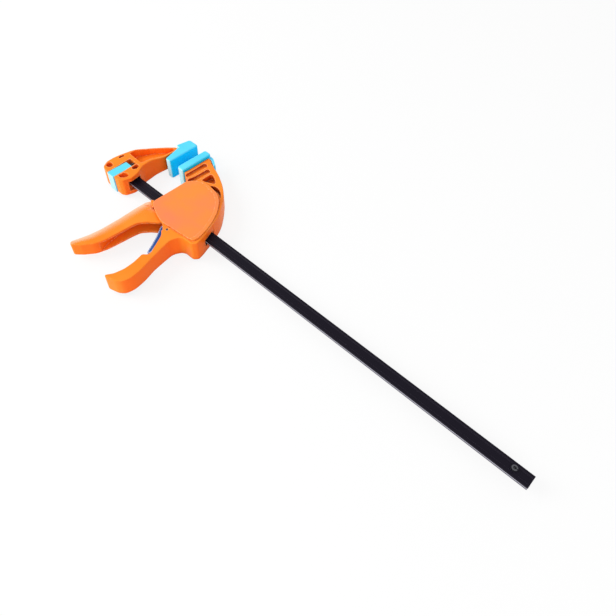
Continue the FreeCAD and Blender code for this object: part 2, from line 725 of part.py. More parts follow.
def circles_at(places, radius):
    edges = []
    for x, y in places:
        edges += circle(x, y, radius)
    return edges


def cover_seat():
    """The cover's outline with a fitting gap, run out past the front of the head."""
    gap = size("seat_gap") / 2
    out = size("overrun")
    sides = [-out if index in cover_open_sides else -gap for index in range(len(cover_outline_shares))]
    return inset(head_corners(cover_outline_shares), sides)


def make_head_frame():
    """Housing, pistol grip and moving jaw arm in one moulding, open to the side cover."""
    body = new_body("head_frame")
    reach = HEAD_REACH
    depth = size("grip_depth")
    beyond = size("overrun")
    gap = size("seat_gap")
    steps = head_step_shares
    stations = [
        (-depth - beyond, size("grip_half_depth"), 0),
        (steps["grip"] * depth, size("grip_half_depth"), depth),
        (steps["housing"] * depth, size("head_half_depth"), depth),
        (steps["shoulder"] * reach, size("head_half_depth"), reach),
        (steps["arm"] * reach, size("arm_half_depth"), reach),
        (reach + beyond, size("arm_half_depth"), 0),
    ]
    shaped_block(body, "head", head_corners(head_outline_shares), stations)
    rim_fillet(body, body.Tip, "sizes.edge_round", "head_edges")
    inner = size("edge_round") + gap
    sides = [inner if index in cover_open_sides else 0 for index in range(len(cover_outline_shares))]
    panel = sketch_on(body, "back_panel_sketch", rounded(inset(head_corners(cover_outline_shares), sides)),
                      "XY_Plane", -size("cover_half_depth"))
    pad(body, panel, "sizes.cover_half_depth - sizes.cavity_half_depth", "back_panel", False)
    bottom = -size("cavity_half_depth")
    top = size("cover_half_depth") + beyond
    above_seat = "sizes.cover_half_depth + sizes.overrun - sizes.cavity_half_depth"
    cut_down(body, "cover_seat", rounded(cover_seat()), top, above_seat)
    room_depth = "sizes.cover_half_depth + sizes.overrun + sizes.cavity_half_depth"
    drive_room = head_corners(drive_room_shares)
    drive_room += [(SEAT_X, FULCRUM_V - 2 * beyond, beyond), (SEAT_X, seat_top_share * reach, beyond)]
    drive_room += head_corners(drive_room_top_shares)
    cut_down(body, "drive_room", rounded(drive_room), top, room_depth)
    floor = brake_room_floor_share * depth
    ceiling = BAR_HALF + size("brake_above_bar") + 5 * gap
    brake_room = [(SEAT_BACK_X, floor, beyond), (REAR_WALL_X, floor, beyond),
                  (REAR_WALL_X, size("spring_radius") + size("spring_wire"), beyond),
                  (BRAKE_SPRING_X + size("spring_wire"), ceiling, beyond), (SEAT_BACK_X, ceiling, beyond)]
    cut_down(body, "brake_room", rounded(brake_room), top, room_depth)
    half = size("plate_thickness") / 2
    nub = [(SEAT_BACK_X - half, FULCRUM_V - half, 0), (FULCRUM_X, FULCRUM_V - half, 0), (FULCRUM_X, FULCRUM_V, 0),
           (FULCRUM_X - half, FULCRUM_V + half, 0), (SEAT_BACK_X - half, FULCRUM_V + half, 0)]
    pad(body, sketch_on(body, "fulcrum_sketch", rounded(nub)), "2 * sizes.cavity_half_depth", "fulcrum")
    posts = sketch_on(body, "screw_posts_sketch", circles_at(screw_places(), size("screw_boss_radius")),
                      "XY_Plane", -size("head_half_depth"))
    pad(body, posts, "sizes.head_half_depth + sizes.cavity_half_depth", "screw_posts", False)
    lever_slot = rounded(head_corners(lever_slot_shares))
    cut_through(body, "lever_slot", lever_slot, "2 * (sizes.lever_half_depth + sizes.seat_gap)")
    tunnel = rectangle(-TUNNEL_HALF, -TUNNEL_FLAT, TUNNEL_HALF, TUNNEL_FLAT)
    cut_through(body, "bar_tunnel", tunnel, "4 * sizes.grip_depth", "YZ_Plane")
    wide = TUNNEL_HALF + size("recess_depth") / 2
    high = TUNNEL_FLAT + size("recess_depth") / 2
    exit_x = REAR_WALL_X + size("rear_wall") - size("recess_depth")
    mouth = sketch_on(body, "rear_mouth_sketch", rectangle(-wide, -high, wide, high, size("bar_corner")),
                      "YZ_Plane", exit_x)
    pocket(body, mouth, "sizes.recess_depth + 4 * sizes.overrun", "rear_mouth", False, True)
    deep = rounded(head_corners(arm_pocket_shares)) + rounded(head_corners(arm_slot_shares))
    recess_to_web(body, "arm_pocket", deep)
    valleys = rounded(head_corners(arm_front_valley_shares)) + rounded(head_corners(arm_rear_valley_shares))
    valley_top = size("cover_half_depth") + beyond
    valley_depth = "sizes.cover_half_depth + sizes.overrun - sizes.arm_half_depth + sizes.recess_depth"
    cut_down(body, "arm_valleys_upper", valleys, valley_top, valley_depth)
    cut_up(body, "arm_valleys_lower", valleys, -valley_top, valley_depth)
    cut_through(body, "pad_rib_groove", rib_outline(gap), "2 * (sizes.rib_half_depth + sizes.seat_gap)")
    places = screw_places()
    screw_foot = -size("cover_half_depth")
    cut_up(body, "screw_holes", circles_at(places, size("screw_radius")), screw_foot,
           "sizes.cover_half_depth + sizes.cavity_half_depth + sizes.overrun")
    cut_up(body, "screw_head_seats", circles_at(places, size("screw_head_radius") + gap), screw_foot - beyond,
           "sizes.overrun + sizes.screw_head_height + sizes.seat_gap")
    pin = circle(PIVOT_X, PIVOT_V, size("pin_radius"))
    cut_down(body, "trigger_pin_seat", pin, 0, "sizes.cover_half_depth - sizes.cover_skin")
    lever_pin = circle(LEVER_X, LEVER_V, size("lever_pin_radius"))
    cut_through(body, "lever_pin_hole", lever_pin)
    return body


def make_side_cover():
    """Side cover of the head with a thin bead round its edge."""
    body = new_body("side_cover")
    corners = head_corners(cover_outline_shares)
    base = sketch_on(body, "cover_outline", rounded(corners), "XY_Plane", size("cavity_half_depth"))
    pad(body, base, "sizes.cover_half_depth - sizes.cavity_half_depth", "cover_plate", False)
    rim_fillet(body, body.Tip, "sizes.edge_round / 2", "cover_edges")
    sides = [size("bead_width") if index in cover_bead_sides else -size("overrun") for index in range(len(corners))]
    cut_down(body, "cover_field", rounded(inset(corners, sides)), size("cover_half_depth"), "sizes.bead_height")
    blind = "sizes.cover_half_depth - sizes.cavity_half_depth - sizes.cover_skin"
    cut_up(body, "cover_screw_holes", circles_at(screw_places(), size("screw_radius")),
           size("cavity_half_depth"), blind)
    cut_up(body, "cover_pin_seat", circle(PIVOT_X, PIVOT_V, size("pin_radius")), size("cavity_half_depth"), blind)
    return body


def make_cover_screws():
    """Four screws from the far side, through the head frame into the cover."""
    body = new_body("cover_screws")
    body.AllowCompound = True
    foot = -size("cover_half_depth") + size("seat_gap")
    places = screw_places()
    heads = sketch_on(body, "screw_heads_sketch", circles_at(places, size("screw_head_radius")), "XY_Plane", foot)
    pad(body, heads, "sizes.screw_head_height", "screw_heads", False)
    shanks = sketch_on(body, "screw_shanks_sketch", circles_at(places, size("screw_radius")), "XY_Plane", foot)
    pad(body, shanks, "2 * sizes.cover_half_depth - 2 * sizes.cover_skin", "screw_shanks", False)
    return body


def make_pin(name, x, height, radius_name, expression):
    body = new_body(name)
    pad(body, sketch_on(body, name + "_circle", circle(x, height, size(radius_name))), expression, name + "_rod")
    return body


# The trigger's outline, in the head's shares: neck, shoulder and front edge, then tip and rear edge
trigger_front_shares = [
    (0.34, 0.09, 0.10), (0.30, -0.06, 0.10), (0.25, -0.115, 0.05), (0.212, -0.165, 0.04),
    (0.112, -0.110, 0.03), (0.085, -0.165, 0.08), (0.081, -0.30, 0.60), (0.084, -0.49, 0.60),
    (0.074, -0.68, 0.50), (0.050, -0.81, 0.30),
]
trigger_lever_shares = [
    (-0.002, -0.968, 0.03), (0.04, -0.995, 0.03), (0.12, -0.93, 0.10), (0.203, -0.835, 0.20),
    (0.237, -0.73, 0.40), (0.252, -0.60, 0.60), (0.265, -0.47, 0.40), (0.28, -0.385, 0.12),
    (0.35, -0.31, 0.12), (0.455, -0.235, 0.05),
]
# The stop below the push nose: its end and its root along the head, its top in nose radii below
# the nose, and how far its end falls from there towards its underside
stop_end_share = 0.455
stop_root_share = 0.365
stop_drop_share = 2.26
stop_fall_share = 0.31
channel_shares = [
    (0.55, -0.15, 0.0), (0.30, -0.145, 0.03), (0.26, -0.19, 0.04), (0.19, -0.26, 0.08),
    (0.158, -0.34, 0.40), (0.150, -0.45, 0.50), (0.152, -0.58, 0.50), (0.180, -0.71, 0.40),
    (0.245, -0.86, 0.0), (0.32, -0.84, 0.0), (0.55, -0.40, 0.0),
]
# Two raised ribs on the shoulder, and where the trigger's half depth changes
trigger_rib_shares = [
    [(0.105, -0.187, 0.0), (0.160, -0.143, 0.0), (0.182, -0.155, 0.0), (0.127, -0.200, 0.0)],
    [(0.165, -0.212, 0.0), (0.208, -0.176, 0.0), (0.228, -0.188, 0.0), (0.185, -0.226, 0.0)],
]
trigger_step_shares = {"tip": -0.80, "shoulder": -0.30}


def make_trigger():
    """Trigger lever, a channel open to the grip, with a fork astride the bar."""
    body = new_body("trigger")
    hub = size("trigger_hub_radius")
    nose = size("push_nose_radius")
    blend = hub / 2
    corners = head_corners(trigger_front_shares) + head_corners(trigger_lever_shares)
    stop_top = NOSE_V - stop_drop_share * nose
    underside = corners[-1][1]
    corners += [
        (ARM_X + stop_end_share * HEAD_LENGTH, stop_top + stop_fall_share * (underside - stop_top), nose),
        (ARM_X + stop_root_share * HEAD_LENGTH, stop_top, nose / 2),
        (NOSE_X - 1.1 * nose, NOSE_V - nose, nose / 3),
        (NOSE_X + nose, NOSE_V - nose, nose),
        (NOSE_X + nose, NOSE_V + nose, nose),
        (NOSE_X + nose / 2, BAR_HALF + size("plate_above_bar") + 2 * size("seat_gap"), blend),
        (PIVOT_X + hub, PIVOT_V - hub, hub),
        (PIVOT_X + hub, PIVOT_V + hub, hub),
        (PIVOT_X - hub, PIVOT_V + hub, hub),
    ]
    depth = size("grip_depth")
    steps = trigger_step_shares
    half = size("trigger_half_depth")
    tip_half = size("trigger_tip_half_depth")
    stations = [(-depth - hub, tip_half, 0), (steps["tip"] * depth, tip_half, depth),
                (steps["shoulder"] * depth, half, depth), (PIVOT_V + 2 * hub, half, 0)]
    shaped_block(body, "trigger", corners, stations)
    rim_fillet(body, body.Tip, "sizes.edge_round", "trigger_edges")
    ribs = []
    for shares in trigger_rib_shares:
        ribs += rounded(head_corners(shares))
    rib_depth = "2 * (sizes.trigger_half_depth + sizes.trigger_rib_height)"
    pad(body, sketch_on(body, "trigger_rib_sketch", ribs), rib_depth, "trigger_ribs")
    cut_through(body, "trigger_channel", rounded(head_corners(channel_shares)),
                "2 * (sizes.trigger_tip_half_depth - sizes.trigger_wall)")
    floor = -BAR_HALF - 4 * size("seat_gap")
    fork = rectangle(ARM_X, floor, PIVOT_X + 2 * hub, PIVOT_V + 2 * hub)
    cut_through(body, "trigger_fork", fork, "sizes.bar_thickness + 4 * sizes.tunnel_gap")
    bore = circle(PIVOT_X, PIVOT_V, size("pin_radius") + size("running_gap"))
    cut_through(body, "trigger_bore", bore)
    return body


def make_plate(name, x):
    """A hardened plate with a window for the bar, face on at x."""
    body = new_body(name)
    half = size("plate_half_depth")
    corner = size("overrun")
    outer = rectangle(-BAR_HALF - size("plate_below_bar"), -half, BAR_HALF + size("plate_above_bar"), half, corner)
    window = rectangle(-TUNNEL_HALF, -TUNNEL_FLAT, TUNNEL_HALF, TUNNEL_FLAT, size("bar_corner"))
    pad(body, sketch_on(body, name + "_face", outer + window, "YZ_Plane", x), "sizes.plate_thickness",
        name + "_plate", False)
    return body


def make_brake_plate():
    """Brake plate, tipped about the fulcrum so that its window grips the bar."""
    body = new_body("brake_plate")
    half = size("plate_half_depth")
    corner = size("overrun")
    thick = size("plate_thickness")
    outer = rectangle(BRAKE_FOOT_V, -half, BAR_HALF + size("brake_above_bar"), half, corner)
    arm = -FULCRUM_V
    opening = (size("bar_width") + thick * math.sin(BRAKE_TILT)) / math.cos(BRAKE_TILT) / 2 + size("tunnel_gap") / 2
    middle = (arm - thick / 2 * math.sin(BRAKE_TILT)) / math.cos(BRAKE_TILT) - arm
    window = rectangle(middle - opening, -TUNNEL_FLAT, middle + opening, TUNNEL_FLAT)
    pad(body, sketch_on(body, "brake_face", outer + window, "YZ_Plane", FULCRUM_X + size("seat_gap") / 2),
        "sizes.plate_thickness", "brake_plate_blank", False)
    tip = FreeCAD.Placement(Vector(0, 0, 0), FreeCAD.Rotation(Vector(0, 0, 1), size("brake_tilt_angle")),
                            Vector(FULCRUM_X, FULCRUM_V, 0))
    body.Placement = REST.multiply(tip)
    return body


lever_outline_shares = [
    (0.467, -0.238, 0.02), (0.487, -0.276, 0.10), (0.549, -0.354, 0.40), (0.615, -0.458, 0.40),
    (0.67, -0.554, 0.015), (0.70, -0.545, 0.02), (0.703, -0.525, 0.02), (0.667, -0.44, 0.20),
    (0.652, -0.36, 0.10), (0.68, -0.303, 0.05), (0.742, -0.256, 0.05), (0.783, -0.218, 0.04),
]
lever_top_shares = [(0.78, -0.205, 0.01), (0.735, -0.222, 0.05), (0.66, -0.230, 0.10), (0.50, -0.226, 0.04)]


def make_release_lever():
    """Release lever in the grip; its nose reaches behind the brake plate."""
    body = new_body("release_lever")
    nose = size("lever_nose_radius")
    nose_v = BRAKE_FOOT_V + nose - size("seat_gap")
    back = size("plate_thickness") + size("seat_gap") / 2
    plate_back_x = FULCRUM_X + back * math.cos(BRAKE_TILT) + (FULCRUM_V - nose_v) * math.sin(BRAKE_TILT)
    nose_x = plate_back_x + 1.5 * size("seat_gap") + nose
    corners = head_corners(lever_outline_shares)
    corners += [(nose_x + nose, nose_v - nose, nose), (nose_x + nose, nose_v + nose, nose),
                (nose_x - nose, nose_v + nose, nose)]
    corners += head_corners(lever_top_shares)
    pad(body, sketch_on(body, "lever_outline", rounded(corners)), "2 * sizes.lever_half_depth", "lever_block")
    rim_fillet(body, body.Tip, "sizes.edge_round / 2", "lever_edges")
    bore = circle(LEVER_X, LEVER_V, size("lever_pin_radius") + size("running_gap"))
    cut_through(body, "lever_bore", bore)
    return body


def make_bar_spring(name, x, length_name, turns):
    """A spring round the bar, seated at both ends with a small gap."""
    gap = size("seat_gap")
    shape = coil(size("spring_radius"), size("spring_wire"), size(length_name) - gap, turns,
                 Vector(x + gap / 2, 0, 0), Vector(1, 0, 0), Vector(0, 1, 0))
    return new_feature(name, shape)


pieces = [
    make_clamp_bar(),
    make_bar_stop_pin(),
    make_fixed_jaw(),
    make_fixed_jaw_pad(),
    make_jaw_release_button(),
    make_latch_pin(),
    make_button_springs(),
    make_head_frame(),
    make_side_cover(),
    make_cover_screws(),
    make_moving_jaw_pad(),
    make_pin("trigger_pin", PIVOT_X, PIVOT_V, "pin_radius", "2 * (sizes.cover_half_depth - sizes.cover_skin)"),
    make_pin("lever_pin", LEVER_X, LEVER_V, "lever_pin_radius", "2 * sizes.head_half_depth - 2 * sizes.seat_gap"),
    make_trigger(),
    make_plate("drive_plate_front", PLATE_X),
    make_plate("drive_plate_rear", PLATE_X + size("plate_thickness")),
    make_bar_spring("drive_spring", DRIVE_SPRING_X, "drive_spring_length", 4),
    make_brake_plate(),
    make_bar_spring("brake_spring", BRAKE_SPRING_X, "brake_spring_length", 3),
    make_release_lever(),
]

doc.recompute()
faults = ["%s %s" % (item.Name, item.State) for item in doc.Objects
          if "Invalid" in item.State or "Error" in item.State]
for piece in pieces:
    shape = piece.Shape
    if shape.isNull() or not shape.isValid() or not shape.Solids:
        faults.append("%s has no valid solid" % piece.Label)
    else:
        box = shape.BoundBox
        print("%-20s %2d solid %9.1f mm3  X %.1f..%.1f Y %.1f..%.1f Z %.1f..%.1f" % (
            piece.Label, len(shape.Solids), shape.Volume, box.XMin, box.XMax, box.YMin, box.YMax, box.ZMin, box.ZMax))
if faults:
    raise RuntimeError("; ".join(faults))

os.makedirs("parts", exist_ok=True)
for piece in pieces:
    piece.Shape.exportStep(os.path.join("parts", piece.Label + ".step"))
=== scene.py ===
"""Looks of the quick release bar clamp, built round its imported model. Lengths are in metres."""

import math

import bpy
from mathutils import Matrix, Vector


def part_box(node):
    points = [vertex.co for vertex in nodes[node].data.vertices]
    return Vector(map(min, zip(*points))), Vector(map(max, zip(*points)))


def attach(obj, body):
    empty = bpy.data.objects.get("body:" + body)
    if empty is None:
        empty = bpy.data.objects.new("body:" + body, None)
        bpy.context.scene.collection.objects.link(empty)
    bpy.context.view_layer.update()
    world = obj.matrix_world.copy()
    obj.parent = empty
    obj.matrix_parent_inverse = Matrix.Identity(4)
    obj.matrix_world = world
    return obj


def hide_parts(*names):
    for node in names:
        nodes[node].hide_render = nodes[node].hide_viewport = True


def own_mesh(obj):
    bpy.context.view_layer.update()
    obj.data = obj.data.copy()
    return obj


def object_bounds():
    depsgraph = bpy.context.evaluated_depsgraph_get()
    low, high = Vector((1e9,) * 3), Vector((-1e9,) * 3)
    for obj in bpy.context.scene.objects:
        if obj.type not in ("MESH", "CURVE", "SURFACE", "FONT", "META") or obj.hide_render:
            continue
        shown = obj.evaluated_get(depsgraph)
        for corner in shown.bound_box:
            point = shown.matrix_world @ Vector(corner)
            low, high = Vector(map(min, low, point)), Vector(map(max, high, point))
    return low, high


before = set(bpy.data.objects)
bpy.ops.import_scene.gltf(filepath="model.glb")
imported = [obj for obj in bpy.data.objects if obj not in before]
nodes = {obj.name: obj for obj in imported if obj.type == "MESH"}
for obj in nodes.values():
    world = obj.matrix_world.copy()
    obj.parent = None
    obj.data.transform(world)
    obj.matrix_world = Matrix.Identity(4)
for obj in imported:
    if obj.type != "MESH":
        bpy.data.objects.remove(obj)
cad_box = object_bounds()
MM = 0.001
bar_low, bar_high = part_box("clamp_bar")
BAR_HALF_THICKNESS = bar_high.z
BAR_CENTRE_Y = (bar_low.y + bar_high.y) / 2     # V counts from here and Y from the pads

# Camera, as solved from the photograph: the frame is square and 616 pixels wide
PHOTO_WIDTH_PX = 616
FOCAL_PX = 562.55
SENSOR_MM = 36.0
CAMERA_PLACE = Vector((383.46, -266.98, 370.08)) * MM
CAMERA_AIM = Vector((211.03, -49.20, 0.0)) * MM
CAMERA_RIGHT = Vector((0.73916, 0.67161, 0.05082))


def make_camera():
    data = bpy.data.cameras.new("camera")
    data.sensor_width = SENSOR_MM
    data.lens = FOCAL_PX / PHOTO_WIDTH_PX * SENSOR_MM
    data.clip_start = 0.01
    data.clip_end = 20
    camera = bpy.data.objects.new("camera", data)
    bpy.context.scene.collection.objects.link(camera)
    back = (CAMERA_PLACE - CAMERA_AIM).normalized()
    right = (CAMERA_RIGHT - back * CAMERA_RIGHT.dot(back)).normalized()
    up = back.cross(right)
    turn = Matrix((right, up, back)).transposed().to_4x4()
    camera.matrix_world = Matrix.Translation(CAMERA_PLACE) @ turn
    bpy.context.scene.camera = camera


def srgb(red, green, blue):
    """Linear colour from 0-255 screen values."""
    def linear(value):
        value = value / 255
        return value / 12.92 if value <= 0.04045 else ((value + 0.055) / 1.055) ** 2.4
    return (linear(red), linear(green), linear(blue), 1.0)


class Nodes:
    """Short way to build a node tree."""

    def __init__(self, name):
        self.material = bpy.data.materials.new(name)
        self.material.use_nodes = True
        self.tree = self.material.node_tree
        self.shader = self.tree.nodes["Principled BSDF"]

    def add(self, kind, **inputs):
        node = self.tree.nodes.new(kind)
        for key, value in inputs.items():
            if key in ("operation", "data_type"):
                setattr(node, key, value)
            else:
                node.inputs[key.replace("_", " ")].default_value = value
        return node

    def link(self, source, target):
        self.tree.links.new(source, target)

    def spread(self, source, low=0.0, high=1.0, to_low=0.0, to_high=1.0):
        """A value carried from one range to another and held at its ends; low may lie over high."""
        node = self.add("ShaderNodeMapRange", From_Min=low, From_Max=high, To_Min=to_low,
                        To_Max=to_high)
        self.link(source, node.inputs["Value"])
        return node.outputs["Result"]

    def ramp(self, source, stops):
        """Colours that follow a value; each stop is a place from 0 to 1 and its colour."""
        node = self.add("ShaderNodeValToRGB")
        places = node.color_ramp.elements
        while len(places) < len(stops):
            places.new(0.5)
        for place, (position, colour) in zip(places, stops):
            place.position = position
            place.color = colour
        self.link(source, node.inputs["Fac"])
        return node.outputs["Color"]


def edge_mask(make, radius, low, high):
    """1 along the sharp edges of a piece and 0 on its faces."""
    geometry = make.add("ShaderNodeNewGeometry")
    bevel = make.add("ShaderNodeBevel", Radius=radius)
    bevel.samples = 6
    agree = make.add("ShaderNodeVectorMath", operation="DOT_PRODUCT")
    make.link(geometry.outputs["Normal"], agree.inputs[0])
    make.link(bevel.outputs["Normal"], agree.inputs[1])
    return make.spread(agree.outputs["Value"], high, low)


# Mask for a painted highlight along the rim of one side of a piece
def palm_mask(make, radius, side, low, high):
    """1 along the rim that faces one side of a piece, fading over the radius on its level face."""
    bevel = make.add("ShaderNodeBevel", Radius=radius)
    bevel.samples = 8
    turn = make.add("ShaderNodeVectorTransform")
    turn.vector_type = "NORMAL"
    turn.convert_from = "WORLD"
    turn.convert_to = "OBJECT"
    make.link(bevel.outputs["Normal"], turn.inputs["Vector"])
    lean = make.add("ShaderNodeVectorMath", operation="DOT_PRODUCT")
    lean.inputs[1].default_value = side
    make.link(turn.outputs["Vector"], lean.inputs[0])
    return make.spread(lean.outputs["Value"], low, high)


# Masks for painted shade in hollows
def recess_shade_masks(make, reach, ranges):
    """1 inside recesses and narrow gaps, 0 on open faces; one mask for each range of openness."""
    shade = make.add("ShaderNodeAmbientOcclusion", Distance=reach)
    shade.samples = 8
    return [make.spread(shade.outputs["AO"], high, low) for low, high in ranges]


def facing_mask(make, axis, low, high, operation="ABSOLUTE"):
    """Mask by how far a face looks along an axis: 1 at low and under it, 0 at high and over it, or
    the other way where low is over high. ABSOLUTE takes both ways along the axis, and MULTIPLY the
    negative one."""
    geometry = make.add("ShaderNodeNewGeometry")
    axes = make.add("ShaderNodeSeparateXYZ")
    make.link(geometry.outputs["Normal"], axes.inputs["Vector"])
    size = make.add("ShaderNodeMath", operation=operation)
    size.inputs[1].default_value = -1.0
    make.link(axes.outputs[axis], size.inputs[0])
    return make.spread(size.outputs["Value"], high, low)


def blend_colour(make, mask, first, second):
    """Mixes two colours; each is a socket or a plain colour."""
    mix = make.add("ShaderNodeMix", data_type="RGBA")
    make.link(mask, mix.inputs["Factor"])
    for value, socket in ((first, mix.inputs["A"]), (second, mix.inputs["B"])):
        if isinstance(value, tuple):
            socket.default_value = value
        else:
            make.link(value, socket)
    return mix.outputs["Result"]


PLASTIC_SHEEN = 0.10
CLOUDS_PER_METRE = 28.0
PATCHES_PER_METRE = 420.0
PALE_PATCH_FADE = 0.3
SPARK_SIZE = 0.25 * MM
# Ranges of the masks: how far an edge turns, and how far a face looks along its axis
RIM_TURN = (0.80, 0.98)
# Ranges that part level faces from walls and pick out walls along X, for painted shade on walls
LEVEL_FACE = (0.2, 0.8)
WALL_ALONG_X = (1.0, 0.5)
# Range for faces that look to -Y, which take a painted highlight
WALL_TO_MINUS_Y = (0.9, 0.6)
# Painted highlight along the rim of one side of the trigger: its range, its reach and its side
HIGHLIGHT_LEAN = (0.02, 0.30)
HIGHLIGHT_RIM = 11 * MM
HIGHLIGHT_SIDE = (-0.95, 0.3, 0)     # the trigger's side that the fingers pull


def moulded(name, colour, deeper, edge_highlight_and_wear, wall_shade, hollow_shade, deep_shade, roughness, rim, pale_patches_from,
            ends=None, x_wall_shade=None, palm=None, reach=6 * MM, hollow_range=(0.15, 0.70),
            deep_range=(0.05, 0.40), bump=0.05):
    """Moulded plastic: soft mottling, fine spark texture and uneven gloss, with painted light:
    walls in a painted shade apart from the level faces, pale edges in patches that are painted
    highlight with wear, and painted shade in the hollows. Further tones may be given: a painted
    shade for the walls that face along X, a painted highlight for the faces that look to -Y, and a
    painted highlight along the rim of the side that the fingers pull."""
    make = Nodes(name)
    shader = make.shader
    shader.inputs["Specular IOR Level"].default_value = PLASTIC_SHEEN
    place = make.add("ShaderNodeTexCoord")
    cloud = make.add("ShaderNodeTexNoise", Scale=CLOUDS_PER_METRE, Detail=3.0, Roughness=0.55)
    make.link(place.outputs["Object"], cloud.inputs["Vector"])
    face = make.ramp(cloud.outputs["Fac"], [(0.35, deeper), (0.68, colour)])
    # Pale edges in patches: painted highlight along the rims, with wear
    patchy = make.add("ShaderNodeTexNoise", Scale=PATCHES_PER_METRE, Detail=3.0, Roughness=0.6)
    make.link(place.outputs["Object"], patchy.inputs["Vector"])
    pale_edge_patches = make.spread(patchy.outputs["Fac"], pale_patches_from, pale_patches_from + PALE_PATCH_FADE)
    highlight_and_wear_mask = make.add("ShaderNodeMath", operation="MULTIPLY")
    make.link(edge_mask(make, rim, *RIM_TURN), highlight_and_wear_mask.inputs[0])
    make.link(pale_edge_patches, highlight_and_wear_mask.inputs[1])
    # Walls that face along X take a painted shade of their own
    if x_wall_shade:
        wall_shade = blend_colour(make, facing_mask(make, "X", *WALL_ALONG_X), wall_shade, x_wall_shade)
    # Painted highlight along the rim of one side, fading over the level face
    if palm:
        face = blend_colour(make, palm_mask(make, HIGHLIGHT_RIM, HIGHLIGHT_SIDE, *HIGHLIGHT_LEAN), face, palm)
    # Walls take a painted shade apart from the level faces
    surface = blend_colour(make, facing_mask(make, "Z", *LEVEL_FACE), face, wall_shade)
    # Faces that look to -Y take a painted highlight
    if ends:
        minus_y_highlight_mask = facing_mask(make, "Y", *WALL_TO_MINUS_Y, "MULTIPLY")
        surface = blend_colour(make, minus_y_highlight_mask, surface, ends)
    # Painted shade in hollows and narrow gaps, darkest in the deepest
    recess_shade, deep_recess_shade = recess_shade_masks(make, reach, (hollow_range, deep_range))
    surface = blend_colour(make, recess_shade, surface, hollow_shade)
    surface = blend_colour(make, deep_recess_shade, surface, deep_shade)
    surface = blend_colour(make, highlight_and_wear_mask.outputs["Value"], surface, edge_highlight_and_wear)
    make.link(surface, shader.inputs["Base Color"])
    spark = make.add("ShaderNodeTexNoise", Scale=1.0 / SPARK_SIZE, Detail=2.0)
    make.link(place.outputs["Object"], spark.inputs["Vector"])
    uneven = make.spread(cloud.outputs["Fac"], to_low=roughness - 0.06, to_high=roughness + 0.06)
    make.link(uneven, shader.inputs["Roughness"])
    rise = make.add("ShaderNodeBump", Strength=bump, Distance=0.1 * MM)
    make.link(spark.outputs["Fac"], rise.inputs["Height"])
    make.link(rise.outputs["Normal"], shader.inputs["Normal"])
    return make.material


BAR_TOP_FACE = (0.5, 0.9)


def painted_side_highlights(make, place, surface, levels):
    """Painted highlight lines along the bar's side walls, at the given heights in its thickness."""
    axes = make.add("ShaderNodeSeparateXYZ")
    make.link(place.outputs["Object"], axes.inputs["Vector"])
    height = make.spread(axes.outputs["Z"], -BAR_HALF_THICKNESS, BAR_HALF_THICKNESS)
    lines = make.ramp(height, levels)
    return blend_colour(make, facing_mask(make, "Z", *BAR_TOP_FACE), surface, lines)


DRAWN_ALONG_X = (1.0, 40.0, 40.0)
MARKS_PER_METRE = 90.0
METAL_RIM = 0.45 * MM
METAL_RIM_TURN = (0.78, 0.98)


def metal(name, colour, roughness, edge_highlight_and_wear=None, metallic=1.0, specular=0.5, side_highlights=None):
    """Metal with fine marks along X and, where given, pale edges of painted highlight and wear
    and painted highlight lines on its side walls.
    """
    make = Nodes(name)
    shader = make.shader
    shader.inputs["Metallic"].default_value = metallic
    shader.inputs["Specular IOR Level"].default_value = specular
    place = make.add("ShaderNodeTexCoord")
    stretch = make.add("ShaderNodeMapping")
    stretch.inputs["Scale"].default_value = DRAWN_ALONG_X
    make.link(place.outputs["Object"], stretch.inputs["Vector"])
    marks = make.add("ShaderNodeTexNoise", Scale=MARKS_PER_METRE, Detail=5.0, Roughness=0.6)
    make.link(stretch.outputs["Vector"], marks.inputs["Vector"])
    darker = tuple(part * 0.75 for part in colour[:3]) + (1.0,)
    surface = make.ramp(marks.outputs["Fac"], [(0.3, darker), (0.75, colour)])
    if side_highlights:
        surface = painted_side_highlights(make, place, surface, side_highlights)
    if edge_highlight_and_wear:
        surface = blend_colour(make, edge_mask(make, METAL_RIM, *METAL_RIM_TURN), surface, edge_highlight_and_wear)
    make.link(surface, shader.inputs["Base Color"])
    uneven = make.spread(marks.outputs["Fac"], to_low=roughness - 0.08, to_high=roughness + 0.10)
    make.link(uneven, shader.inputs["Roughness"])
    rise = make.add("ShaderNodeBump", Strength=0.06, Distance=0.05 * MM)
    make.link(marks.outputs["Fac"], rise.inputs["Height"])
    make.link(rise.outputs["Normal"], shader.inputs["Normal"])
    return make.material


# Pale edge tones: painted highlight with wear
WEAR_AND_HIGHLIGHT_ORANGE = srgb(255, 200, 150)
# Wall tones: painted shade, with a deeper one for walls that face along X
WALL_SHADE_ORANGE = srgb(255, 138, 38)
X_WALL_SHADE_ORANGE = srgb(250, 108, 24)
# Hollow tones: painted shade
HOLLOW_SHADE_ORANGE = srgb(214, 74, 6)
DEEP_SHADE_ORANGE = srgb(112, 34, 8)
WEAR_AND_HIGHLIGHT_CYAN = srgb(214, 248, 255)
HOLLOW_SHADE_CYAN = srgb(4, 200, 255)
DEEP_SHADE_CYAN = srgb(0, 168, 240)


def orange_plastic(name, **more):
    return moulded(name, colour=srgb(253, 140, 42), deeper=srgb(252, 130, 32), edge_highlight_and_wear=WEAR_AND_HIGHLIGHT_ORANGE,
                   wall_shade=WALL_SHADE_ORANGE, hollow_shade=HOLLOW_SHADE_ORANGE, deep_shade=DEEP_SHADE_ORANGE, roughness=0.40,
                   rim=1.5 * MM, pale_patches_from=0.36, x_wall_shade=X_WALL_SHADE_ORANGE, **more)


ORANGE = orange_plastic("orange_plastic")
# The head's hollows take painted shade that reaches further and goes darker
HEAD = orange_plastic("head_plastic", reach=9 * MM, hollow_range=(0.25, 0.85),
                      deep_range=(0.10, 0.62))
